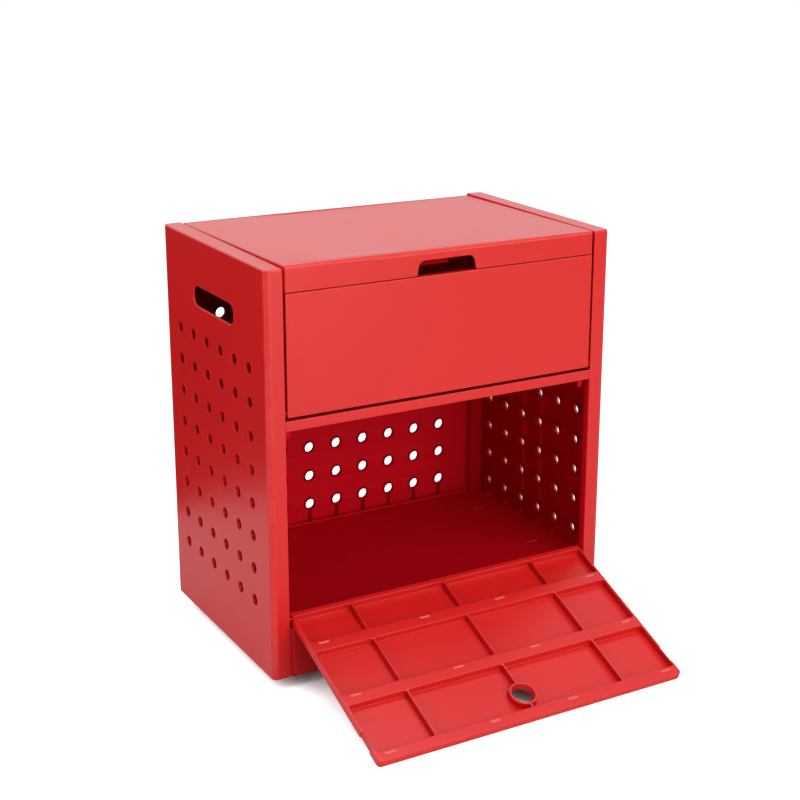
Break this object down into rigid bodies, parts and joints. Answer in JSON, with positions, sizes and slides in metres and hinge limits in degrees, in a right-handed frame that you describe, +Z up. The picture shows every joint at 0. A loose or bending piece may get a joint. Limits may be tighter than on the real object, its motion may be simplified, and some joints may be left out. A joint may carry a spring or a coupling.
{
  "type": "tool cabinet",
  "caption": "Low plastic tool cabinet with pegboard sides and back, a hinged lid, a shelf and two drop-front doors.",
  "frame": {"origin": "centre of the footprint's bounding box on the ground, with the lower door hanging open", "axes": "+Z up, -Y towards the front where the doors open, +X to the right as seen from the front"},
  "size_m": [0.432, 0.473, 0.4729],
  "materials": {
    "shell_red": "semi-gloss moulded red plastic with a fine even texture",
    "pin_red": "plain moulded red plastic",
    "foot_grey": "dull dark grey"
  },
  "bodies": {
    "cabinet": {"side_panel_left": "shell_red", "side_panel_right": "shell_red", "back_panel": "shell_red", "base": "shell_red", "middle_shelf": "shell_red", "foot_front_left": "foot_grey", "foot_rear_left": "foot_grey", "foot_front_right": "foot_grey", "foot_rear_right": "foot_grey"},
    "lid": {"lid": "shell_red", "lid_pin_left": "pin_red", "lid_pin_right": "pin_red"},
    "upper_door": {"upper_door": "shell_red", "upper_door_pin_left": "pin_red", "upper_door_pin_right": "pin_red"},
    "lower_door": {"lower_door": "shell_red", "lower_door_pin_left": "pin_red", "lower_door_pin_right": "pin_red"}
  },
  "joints": [
    {"name": "lid_hinge", "type": "hinge", "parent": "cabinet", "child": "lid", "pos_m": [0, 0.22548, 0.4645], "axis": [-1, 0, 0], "range_deg": [0, 100]},
    {"name": "upper_door_hinge", "type": "hinge", "parent": "cabinet", "child": "upper_door", "pos_m": [0, -0.03577, 0.3169], "axis": [1, 0, 0], "range_deg": [0, 105]},
    {"name": "lower_door_hinge", "type": "hinge", "parent": "cabinet", "child": "lower_door", "pos_m": [0, -0.03577, 0.0812], "axis": [-1, 0, 0], "range_deg": [0, 111.2]}
  ]
}
